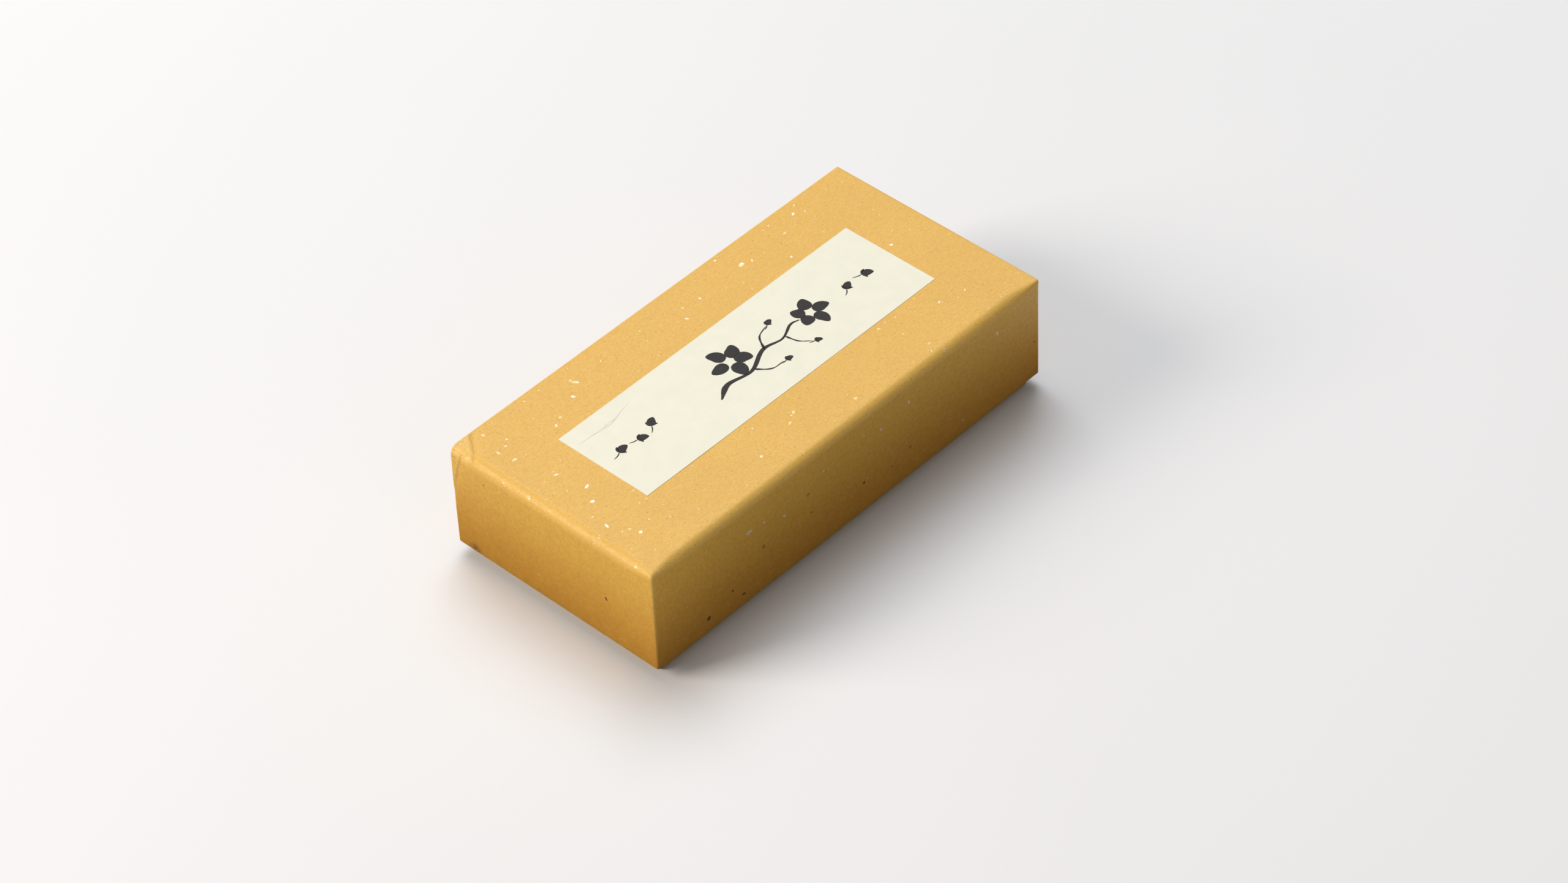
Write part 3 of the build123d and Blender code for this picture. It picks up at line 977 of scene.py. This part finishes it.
def leaflet(material, ink):
    """A sheet folded once along its length, with a small printed twig on its upper leaf."""
    xs = np.linspace(LEAFLET_LOW.x, LEAFLET_HIGH.x, 60)
    ys = np.linspace(LEAFLET_LOW.y + FOLD_INSET, LEAFLET_HIGH.y, 34)
    lower = np.array([(x, y, 0.0) for x in xs for y in ys[::-1]]).reshape(len(xs), len(ys), 3)
    upper = lower[:, ::-1].copy()
    lower[..., 2] = LOWER_LEAF
    upper[..., 2] = upper_leaf_height(upper.reshape(-1, 3)).reshape(len(xs), len(ys))
    fold = (lower[:, -1:] + upper[:, :1]) / 2 - np.array((0, FOLD_REACH, 0))
    middle = np.concatenate([lower, fold, upper], axis=1)
    along = np.gradient(middle, axis=1)
    across = np.stack([np.zeros_like(along[..., 0]), -along[..., 2], along[..., 1]], axis=-1)
    across = across / np.linalg.norm(across, axis=-1)[..., None]
    skin = across * LEAFLET_PAPER / 2
    sheet = sheet_object("leaflet_folded", middle + skin, middle - skin, sharp_degrees=60)
    place(sheet, "folded_leaflet", "leaflet_paper", material, "leaflet")
    printed = inked("leaflet_printed_twig", motif_strokes()[:PRINTED_STROKES], on_leaflet, 0.012 * MM)
    place(printed, "folded_leaflet", "leaflet_paper", ink)


# ---------------------------------------------------------------- materials

class Paint:
    """Builds one node material round a Principled shader, with patterns in the object's own coordinates."""

    def __init__(self, name, roughness, **fixed):
        self.material = bpy.data.materials.new(name)
        self.material.use_nodes = True
        self.tree = self.material.node_tree
        self.shader = self.tree.nodes["Principled BSDF"]
        self.shader.inputs["Roughness"].default_value = roughness
        for socket, value in fixed.items():
            self.shader.inputs[socket.replace("_", " ")].default_value = value
        self.place = self.add("ShaderNodeTexCoord").outputs["Object"]

    def add(self, kind, **inputs):
        """A node with inputs given by number, as in i0=..., each a value or another node's output."""
        node = self.tree.nodes.new(kind)
        for key, value in inputs.items():
            socket = node.inputs[int(key[1:])]
            if isinstance(value, bpy.types.NodeSocket):
                self.tree.links.new(value, socket)
            else:
                socket.default_value = value
        return node

    def stretched(self, scale, turn=0.0):
        """The object's coordinates, stretched and turned about Z."""
        mapping = self.add("ShaderNodeMapping", i0=self.place)
        mapping.inputs["Rotation"].default_value = (0, 0, math.radians(turn))
        mapping.inputs["Scale"].default_value = scale
        return mapping.outputs[0]

    def noise(self, size, detail=3.0, where=None):
        """Noise from 0 to 1 with features of about size."""
        node = self.add("ShaderNodeTexNoise", i0=where or self.place)
        node.inputs["Scale"].default_value = 1 / size
        node.inputs["Detail"].default_value = detail
        return node.outputs[0]

    def ramp(self, value, low, high, start=0.0, end=1.0):
        """A smooth step from start to end as value goes from low to high."""
        node = self.add("ShaderNodeMapRange", i0=value, i1=low, i2=high, i3=start, i4=end)
        node.interpolation_type = "SMOOTHSTEP"
        return node.outputs[0]

    def maths(self, operation, a, b=0.0):
        """One sum on two numbers or sockets."""
        node = self.add("ShaderNodeMath", i0=a, i1=b)
        node.operation = operation
        return node.outputs[0]

    def times(self, a, b):
        """The product of two numbers or sockets."""
        return self.maths("MULTIPLY", a, b)

    def either(self, a, b):
        """The larger of two numbers or sockets."""
        return self.maths("MAXIMUM", a, b)

    def mix(self, share, first, second):
        """A colour between two."""
        node = self.tree.nodes.new("ShaderNodeMix")
        node.data_type = "RGBA"
        for number, value in ((0, share), (6, first), (7, second)):
            if isinstance(value, bpy.types.NodeSocket):
                self.tree.links.new(value, node.inputs[number])
            else:
                node.inputs[number].default_value = value
        return node.outputs[2]

    def specks(self, spacing, radius, share):
        """Scattered dots: in share of the cells, of up to the given radius."""
        node = self.add("ShaderNodeTexVoronoi", i0=self.place)
        node.inputs["Scale"].default_value = 1 / spacing
        dot = self.ramp(node.outputs["Distance"], radius / spacing, 0.55 * radius / spacing)
        chosen = self.maths("GREATER_THAN", self.channel(node.outputs["Color"]), 1 - share)
        return self.times(dot, chosen)

    def channel(self, colour):
        """The red part of a colour."""
        return self.add("ShaderNodeSeparateColor", i0=colour).outputs[0]

    def fibres(self, length, thickness, turn):
        """Streaks of the given length and thickness, turned about Z."""
        where = self.stretched((1 / length, 1 / thickness, 1 / thickness), turn)
        streak = self.noise(1.0, 2.0, where)
        return self.ramp(streak, 0.58, 0.7)

    def attribute(self, name):
        """A number stored on the mesh."""
        node = self.add("ShaderNodeAttribute")
        node.attribute_name = name
        return node.outputs["Fac"]

    def near(self, centre, spread):
        """1 at a place on the object, falling to 0 over the spread given for each axis."""
        offset = self.add("ShaderNodeVectorMath", i0=self.place, i1=centre)
        offset.operation = "SUBTRACT"
        share = self.add("ShaderNodeVectorMath", i0=offset.outputs[0], i1=spread)
        share.operation = "DIVIDE"
        length = self.add("ShaderNodeVectorMath", i0=share.outputs[0])
        length.operation = "LENGTH"
        return self.ramp(length.outputs["Value"], 1.0, 0.3)

    def bump(self, height, strength, distance):
        """Fine relief."""
        node = self.add("ShaderNodeBump")
        node.inputs["Strength"].default_value = strength
        node.inputs["Distance"].default_value = distance
        self.tree.links.new(height, node.inputs["Height"])
        self.tree.links.new(node.outputs[0], self.shader.inputs["Normal"])

    def colour(self, value):
        """Sets the surface colour."""
        self.tree.links.new(value, self.shader.inputs["Base Color"])

    def roughness(self, value):
        """Sets a varying roughness."""
        self.tree.links.new(value, self.shader.inputs["Roughness"])


def shade(colour, by):
    """A colour made lighter or darker."""
    return tuple(min(1.0, part * by) for part in colour[:3]) + (1.0,)


GOLD = (0.77, 0.45, 0.066, 1)
DARK_MOTTLE = (0.58, 0.3, 0.04, 1)
DARK_CLOUD = (0.42, 0.2, 0.03, 1)
LIGHT_CLOUD = (0.98, 0.6, 0.1, 1)
LIGHT_FIBRE = (0.87, 0.6, 0.2, 1)
DARK_FIBRE = (0.5, 0.25, 0.035, 1)
DARK_SPECK = (0.3, 0.14, 0.02, 1)
LIGHT_SPECK = (0.88, 0.74, 0.5, 1)
# Painted shade: the darker, redder gold towards the lid's rim
PAINTED_RIM_SHADE_GOLD = (0.57, 0.2, 0.02, 1)
# Paler gold on the edges: rubbing and painted highlight
RUBBED_AND_LIT_GOLD = (0.88, 0.64, 0.25, 1)
DIRT = (0.16, 0.06, 0.035, 1)
SMUDGE_PLACE = (LID_LOW.x, LID_HIGH.y - 6.4 * MM, LID_RIM + 0.9 * MM)
SMUDGE_SPREAD = (1.2 * MM, 2.9 * MM, 3.0 * MM)
SCUFF_PLACE = tuple(KNOCK_CORNER + Vector((0, -1.4 * MM, -2.2 * MM)))
SCUFF_SPREAD = (1.4 * MM, 1.3 * MM, 1.2 * MM)


def mottled_gold(paint, mottle):
    """The paper's clouds and mottling, stronger on the sides than on the lid's top."""
    colour = paint.mix(paint.ramp(paint.noise(14 * MM), 0.3, 0.7), shade(GOLD, 0.98), shade(GOLD, 1.02))
    colour = paint.mix(paint.ramp(mottle, 0.3, 0.75, 0.15, 0.48), colour, DARK_MOTTLE)
    height = paint.add("ShaderNodeSeparateXYZ", i0=paint.place).outputs[2]
    on_side = paint.ramp(height, LID_TOP - 0.5 * MM, LID_TOP - 4 * MM)
    tone = paint.mix(paint.ramp(paint.noise(1.1 * MM, 5.0), 0.38, 0.62), DARK_CLOUD, LIGHT_CLOUD)
    return paint.mix(paint.times(on_side, 0.13), colour, tone)


def rim_shade_and_worn_lit_edges(paint, colour):
    """Painted shade, darker and redder towards the lid's rim; paler on the edges, from rubbing and painted
    highlight.
    """
    # Painted shade towards the rim
    painted_rim_shade = paint.times(paint.attribute("painted_rim_shade"), paint.ramp(paint.noise(3 * MM, 5.0), 0.2, 0.8, 0.6, 1))
    colour = paint.mix(paint.times(painted_rim_shade, 0.62), colour, PAINTED_RIM_SHADE_GOLD)
    # Paler edges: rubbing and painted highlight
    patches = paint.ramp(paint.noise(0.9 * MM, 5.0), 0.38, 0.62, 0.25, 1)
    rubbed_and_lit = paint.times(paint.attribute("wear_and_highlight"), patches)
    return paint.mix(paint.times(rubbed_and_lit, 0.42), colour, RUBBED_AND_LIT_GOLD)


def dirty_gold(paint, colour):
    """A small smudge at the lid's rim and a fainter one at its knocked corner."""
    scuff = paint.times(paint.near(SCUFF_PLACE, SCUFF_SPREAD), 0.4)
    soiled = paint.either(paint.near(SMUDGE_PLACE, SMUDGE_SPREAD), scuff)
    dirt = paint.times(soiled, paint.ramp(paint.noise(0.5 * MM, 5.0), 0.38, 0.58))
    return paint.mix(paint.times(dirt, 0.8), colour, DIRT)


def gold_paper():
    """Gold-coloured fibrous paper: mottled, with specks, fibres and a little dirt, paler on the edges from
    rubbing and painted highlight, with painted shade towards the lid's rim.
    """
    paint = Paint("gold_fibre_paper", 0.5, Specular_IOR_Level=0.55)
    mottle = paint.noise(0.6 * MM, 4.0)
    colour = mottled_gold(paint, mottle)
    light = paint.either(paint.fibres(2.2 * MM, 0.14 * MM, 25), paint.fibres(2.6 * MM, 0.14 * MM, -50))
    colour = paint.mix(paint.times(light, 0.25), colour, LIGHT_FIBRE)
    colour = paint.mix(paint.times(paint.fibres(1.6 * MM, 0.16 * MM, 80), 0.3), colour, DARK_FIBRE)
    colour = paint.mix(paint.specks(1.4 * MM, 0.17 * MM, 0.4), colour, DARK_SPECK)
    colour = paint.mix(paint.specks(2.6 * MM, 0.2 * MM, 0.4), colour, LIGHT_SPECK)
    paint.colour(dirty_gold(paint, rim_shade_and_worn_lit_edges(paint, colour)))
    paint.roughness(paint.ramp(mottle, 0.25, 0.75, 0.44, 0.58))
    paint.bump(paint.maths("ADD", mottle, paint.times(light, 0.5)), 0.18, 0.05 * MM)
    return paint.material


def silver_foil():
    """Pale foil, slightly crumpled and dulled by the fibres over it."""
    paint = Paint("silver_foil_fleck", 0.5, Metallic=0.3)
    tarnish = paint.noise(0.5 * MM)
    bright = paint.mix(paint.ramp(tarnish, 0.35, 0.7), (0.85, 0.75, 0.64, 1), (0.78, 0.64, 0.44, 1))
    paint.colour(paint.mix(paint.ramp(paint.noise(4 * MM, 1.0), 0.45, 0.62), bright, (0.78, 0.58, 0.28, 1)))
    paint.bump(paint.noise(0.25 * MM), 0.4, 0.03 * MM)
    return paint.material


def dark_speck_and_painted_reflection():
    """A dark fleck: a scrap of bark left in the paper's pulp on the lid's end, and a painted reflection of
    the dark board in foil on its -Y side.
    """
    paint = Paint("dark_speck_and_painted_reflection_fleck", 0.8, Specular_IOR_Level=0.3)
    cloud = paint.ramp(paint.noise(0.4 * MM), 0.4, 0.6)
    paint.colour(paint.mix(cloud, (0.09, 0.035, 0.02, 1), (0.24, 0.1, 0.05, 1)))
    return paint.material


def plain_paper(name, colour, fibre, rough=0.75, mottle=0.06, speck=None):
    """An uncoated paper or card: faint clouds, fibres and, if asked, recycled specks."""
    paint = Paint(name, rough, Specular_IOR_Level=0.3)
    cloud = paint.noise(1.1 * MM, 5.0)
    made = paint.mix(paint.ramp(cloud, 0.3, 0.7), shade(colour, 1 - mottle), shade(colour, 1 + mottle))
    streaks = paint.either(paint.fibres(3 * MM, 0.14 * MM, 15), paint.fibres(2.4 * MM, 0.12 * MM, -65))
    made = paint.mix(paint.times(streaks, 0.35), made, fibre)
    if speck:
        made = paint.mix(paint.specks(1.3 * MM, 0.2 * MM, 0.3), made, speck)
    paint.colour(made)
    paint.roughness(paint.ramp(cloud, 0.2, 0.8, rough - 0.06, rough + 0.06))
    paint.bump(paint.maths("ADD", cloud, paint.times(streaks, 0.4)), 0.2, 0.06 * MM)
    return paint.material


def label_paper():
    """Smooth cream paper with long faint fibres."""
    cream = (0.805, 0.78, 0.645, 1)
    paint = Paint("cream_label_paper", 0.6, Specular_IOR_Level=0.35)
    cloud = paint.noise(5 * MM, 4.0)
    colour = paint.mix(paint.ramp(cloud, 0.3, 0.7), shade(cream, 0.985), shade(cream, 1.015))
    long = paint.either(paint.fibres(7 * MM, 0.16 * MM, 35), paint.fibres(6 * MM, 0.14 * MM, -20))
    colour = paint.mix(paint.times(long, 0.3), colour, (0.74, 0.70, 0.54, 1))
    colour = paint.mix(paint.specks(3 * MM, 0.12 * MM, 0.25), colour, (0.5, 0.4, 0.27, 1))
    paint.colour(colour)
    paint.bump(paint.maths("ADD", paint.noise(0.5 * MM, 4.0), long), 0.12, 0.04 * MM)
    return paint.material


def brush_ink(name, dark):
    """Ink soaked into paper: nearly black, thinner where the brush ran dry."""
    paint = Paint(name, 0.62, Specular_IOR_Level=0.3)
    along_brush = paint.stretched((1 / (1.6 * MM), 1 / (0.35 * MM), 1 / MM), 20)
    dry = paint.ramp(paint.noise(1.0, 4.0, along_brush), 0.52, 0.78)
    paint.colour(paint.mix(paint.times(dry, 0.5), dark, shade(dark, 3.2)))
    return paint.material


def pulp_hair():
    """A grey-brown plant hair, half sunk in the paper."""
    paint = Paint("grey_pulp_hair", 0.7, Specular_IOR_Level=0.3)
    cloud = paint.ramp(paint.noise(2 * MM), 0.4, 0.6)
    paint.colour(paint.mix(cloud, (0.5, 0.46, 0.38, 1), (0.66, 0.62, 0.52, 1)))
    return paint.material


def charcoal():
    """Pressed charcoal powder: deep black, finely grained, a few painted glints as pale specks and a bloom of
    grey dust.
    """
    paint = Paint("pressed_charcoal", 0.72, Specular_IOR_Level=0.45)
    grain = paint.noise(0.35 * MM, 5.0)
    colour = paint.mix(paint.ramp(grain, 0.35, 0.7), (0.018, 0.017, 0.017, 1), (0.045, 0.043, 0.042, 1))
    dust = paint.ramp(paint.noise(4 * MM, 5.0), 0.52, 0.75, 0.0, 0.35)
    colour = paint.mix(dust, colour, (0.13, 0.125, 0.12, 1))
    # Painted glints: pale grey specks in the colour
    colour = paint.mix(paint.specks(0.9 * MM, 0.1 * MM, 0.4), colour, (0.3, 0.29, 0.28, 1))
    paint.colour(colour)
    paint.roughness(paint.ramp(grain, 0.3, 0.7, 0.6, 0.82))
    paint.bump(grain, 0.5, 0.09 * MM)
    return paint.material


def band_paper():
    """Straw-coloured laid paper with a plain brown line near each edge."""
    straw = (0.66, 0.5, 0.27, 1)
    paint = Paint("straw_band_paper", 0.7, Specular_IOR_Level=0.3)
    laid = paint.noise(1.0, 1.0, paint.stretched((1 / (0.5 * MM), 1 / (9 * MM), 1 / (9 * MM))))
    colour = paint.mix(paint.ramp(laid, 0.35, 0.65), shade(straw, 0.93), shade(straw, 1.06))
    low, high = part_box("band_upper_left")
    other_low, other_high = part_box("band_upper_right")
    x = paint.add("ShaderNodeSeparateXYZ", i0=paint.place).outputs[0]
    centre = (other_low.x + other_high.x) / 2
    away = paint.maths("ABSOLUTE", paint.maths("SUBTRACT", paint.maths("ABSOLUTE", x), centre))
    line = paint.maths("ABSOLUTE", paint.maths("SUBTRACT", away, (high.x - low.x) / 2 - 2 * MM))
    printed = paint.ramp(line, 0.35 * MM, 0.25 * MM)
    colour = paint.mix(paint.times(printed, 0.85), colour, (0.2, 0.07, 0.03, 1))
    paint.colour(colour)
    paint.bump(laid, 0.2, 0.05 * MM)
    return paint.material


def paint_nodes(materials):
    """Gives each CAD node that stays its slot's material."""
    for part in frame["record"]["subparts"]:
        node = frame["nodes"][part["node"]]
        for slot in node.material_slots:
            slot.material = materials[part["material_slot"]]


def all_materials():
    """One finished material for each slot in the record."""
    white_fibre = (0.95, 0.94, 0.9, 1)
    grey_fibre = (0.36, 0.33, 0.28, 1)
    dark_speck = (0.12, 0.11, 0.1, 1)
    buff, buff_fibre, buff_speck = (0.62, 0.55, 0.42, 1), (0.72, 0.66, 0.54, 1), (0.3, 0.22, 0.14, 1)
    kraft, kraft_fibre = (0.38, 0.22, 0.1, 1), (0.5, 0.33, 0.17, 1)
    return {
        "gold_paper": gold_paper(),
        "greyboard": plain_paper(
            "recycled_greyboard", (0.3, 0.27, 0.22, 1), grey_fibre, rough=0.85, mottle=0.12, speck=dark_speck
        ),
        "white_paper": plain_paper("white_lining_paper", (0.8, 0.79, 0.74, 1), white_fibre),
        "kraft_tape": plain_paper("kraft_corner_tape", kraft, kraft_fibre, rough=0.6, mottle=0.1),
        "label_paper": label_paper(),
        "bottom_paper": plain_paper("buff_bottom_paper", buff, buff_fibre, mottle=0.07, speck=buff_speck),
        "divider_card": plain_paper("divider_card", (0.75, 0.72, 0.65, 1), white_fibre, mottle=0.05),
        "pad_paper": plain_paper("corrugated_pad_paper", (0.73, 0.7, 0.62, 1), white_fibre, rough=0.8),
        "interleaf_paper": plain_paper(
            "thin_interleaf_paper", (0.82, 0.81, 0.77, 1), white_fibre, rough=0.5, mottle=0.04
        ),
        "band_paper": band_paper(),
        "leaflet_paper": plain_paper(
            "leaflet_paper", (0.8, 0.76, 0.64, 1), white_fibre, rough=0.7, mottle=0.03
        ),
        "charcoal": charcoal(),
    }


# ---------------------------------------------------------------- studio

AIM = Vector((-16.16 * MM, -27.64 * MM, LID_TOP))
CAMERA_DISTANCE = 1.2213
CAMERA_AZIMUTH = math.radians(-45.197)
CAMERA_ELEVATION = math.radians(43.035)
CAMERA_ROLL = math.radians(-2.814)
CAMERA_LENS = 109.63
DARK_DISC_RADIUS = 0.108
DARK_DISC_CENTRE = (0, 0.005)


def camera():
    """A long lens, looking down on the box from over its nearest corner."""
    data = bpy.data.cameras.new("camera")
    data.sensor_width = 36
    data.lens = CAMERA_LENS
    data.clip_start = 0.05
    back = Vector((
        math.sin(CAMERA_AZIMUTH) * math.cos(CAMERA_ELEVATION),
        -math.cos(CAMERA_AZIMUTH) * math.cos(CAMERA_ELEVATION),
        math.sin(CAMERA_ELEVATION),
    ))
    right = Vector((0, 0, 1)).cross(back).normalized()
    up = back.cross(right)
    turned_right = right * math.cos(CAMERA_ROLL) + up * math.sin(CAMERA_ROLL)
    turned_up = up * math.cos(CAMERA_ROLL) - right * math.sin(CAMERA_ROLL)
    thing = bpy.data.objects.new("camera", data)
    thing.matrix_world = Matrix.Translation(AIM + back * CAMERA_DISTANCE) @ Matrix((
        (turned_right.x, turned_up.x, back.x),
        (turned_right.y, turned_up.y, back.y),
        (turned_right.z, turned_up.z, back.z),
    )).to_4x4()
    bpy.context.scene.collection.objects.link(thing)
    bpy.context.scene.camera = thing


def soft_box(name, direction, distance, size, watts, colour=(1, 1, 1)):
    """A square soft light, facing the box."""
    data = bpy.data.lights.new(name, "AREA")
    data.shape = "SQUARE"
    data.size = size
    data.energy = watts
    data.color = colour
    thing = bpy.data.objects.new(name, data)
    direction = Vector(direction).normalized()
    thing.location = direction * distance
    thing.rotation_mode = "QUATERNION"
    thing.rotation_quaternion = direction.to_track_quat("Z", "Y")
    bpy.context.scene.collection.objects.link(thing)


def disc(name, centre, inner, outer, height):
    """A flat disc, or a ring if inner is more than zero."""
    steps = 128
    vertices = []
    for radius in (inner, outer):
        for number in range(steps):
            angle = 2 * math.pi * number / steps
            x, y = centre[0] + radius * math.cos(angle), centre[1] + radius * math.sin(angle)
            vertices.append((x, y, height))
    if not inner:
        return make_object(name, vertices[steps:], [tuple(range(steps))])
    return make_object(name, vertices, ring_faces(0, steps, steps))


def floor():
    """A pale floor that throws no light up on the box, as the real box stands on a dark round board: the
    middle of the floor is seen by the camera only, and a black disc under it stands in for the board.
    """
    paint = Paint("studio_floor", 0.8, Specular_IOR_Level=0.2)
    cloud = paint.ramp(paint.noise(0.4), 0.3, 0.7)
    paint.colour(paint.mix(cloud, (0.79, 0.785, 0.79, 1), (0.81, 0.80, 0.81, 1)))
    around = disc("studio_floor_around", DARK_DISC_CENTRE, DARK_DISC_RADIUS, 4.0, 0)
    middle = disc("studio_floor_middle", DARK_DISC_CENTRE, 0, DARK_DISC_RADIUS, 0)
    dark = disc("studio_dark_board", DARK_DISC_CENTRE, 0, DARK_DISC_RADIUS, -0.5 * MM)
    middle.visible_diffuse = False
    middle.visible_glossy = False
    dark.visible_camera = False
    black = Paint("studio_dark_board", 0.6)
    black.shader.inputs["Base Color"].default_value = (0.02, 0.02, 0.022, 1)
    for thing, material in ((around, paint.material), (middle, paint.material), (dark, black.material)):
        thing.data.materials.append(material)


def studio():
    """A soft key from the left, a broad light from over the back, a weak fill and a dim even surround."""
    floor()
    soft_box("key_from_left", (-0.70, 0.50, 0.50), 2.0, 0.9, 29, (1, 0.92, 0.82))
    soft_box("broad_from_behind", (0.35, 0.45, 1.0), 2.4, 1.7, 41, (0.91, 0.955, 1.0))
    soft_box("weak_fill", (-0.2, -1.0, 0.7), 1.8, 0.9, 1.45, (1, 0.8, 0.45))
    world = bpy.data.worlds.new("studio")
    world.use_nodes = True
    background = world.node_tree.nodes["Background"]
    background.inputs["Color"].default_value = (1, 1, 1, 1)
    background.inputs["Strength"].default_value = 0.25
    bpy.context.scene.world = world
    bpy.context.scene.view_settings.view_transform = "Standard"


def main():
    """Builds every piece of the box, then the studio and the camera."""
    materials = all_materials()
    paint_nodes(materials)
    wrap = lid_wrap(materials["gold_paper"])
    lid_board(materials["greyboard"])
    lid_tapes(materials["kraft_tape"])
    tray_wrap(materials["gold_paper"])
    label(materials["label_paper"])
    label_motif(brush_ink("brush_ink", (0.022, 0.018, 0.017, 1)))
    label_hair(pulp_hair())
    flecks(wrap, silver_foil(), dark_speck_and_painted_reflection())
    sticks(materials["charcoal"])
    leaflet(materials["leaflet_paper"], brush_ink("printed_ink", (0.1, 0.06, 0.03, 1)))
    studio()
    camera()


main()
